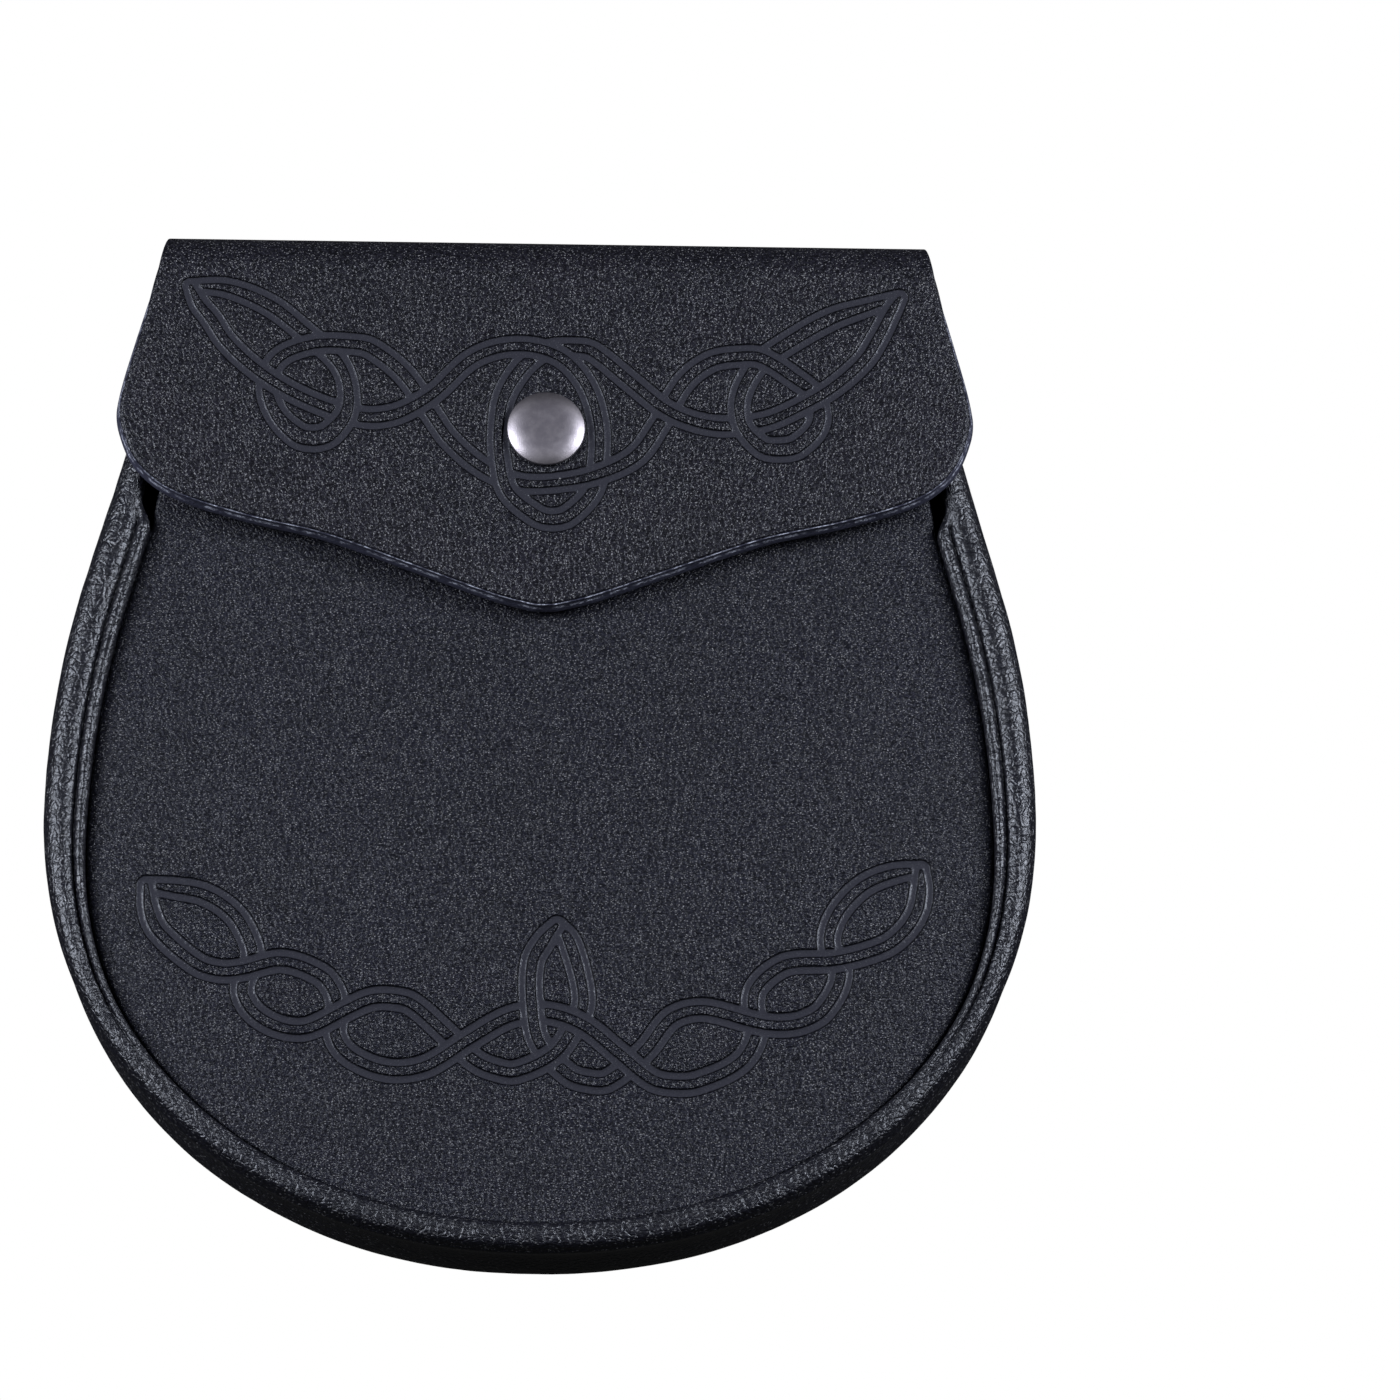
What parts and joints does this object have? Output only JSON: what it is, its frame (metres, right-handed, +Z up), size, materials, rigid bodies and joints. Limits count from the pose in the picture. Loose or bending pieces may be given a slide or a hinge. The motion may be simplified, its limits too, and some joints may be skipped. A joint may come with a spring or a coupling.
{
  "type": "sporran pouch",
  "caption": "Black leather sporran pouch with a rounded front, a gusset rolled round its edge, and a pointed flap that closes with a snap.",
  "frame": {"origin": "on the surface that the pouch lies on, under the middle of its bounding box", "axes": "+Z up out of the pouch's front, +Y towards the fold at its top, +X to the right seen from the front"},
  "size_m": [0.1922, 0.2079, 0.0289],
  "materials": {
    "flap_leather": "stiff blue-black leather, fine even grain, satin, knotwork pressed in",
    "panel_leather": "stiff blue-black leather, fine pebble grain, satin, knotwork pressed in",
    "gusset_leather": "soft blue-black leather, coarser creased grain, soft shine",
    "loop_leather": "plain black leather, satin",
    "cap_metal": "antiqued nickel, softly mottled",
    "stud_metal": "plain nickel"
  },
  "bodies": {
    "root": {"back_and_flap": "flap_leather", "front_panel": "panel_leather", "gusset": "gusset_leather", "snap_cap": "cap_metal", "snap_stud": "stud_metal", "belt_loop_left": "loop_leather", "belt_loop_right": "loop_leather"}
  },
  "joints": []
}
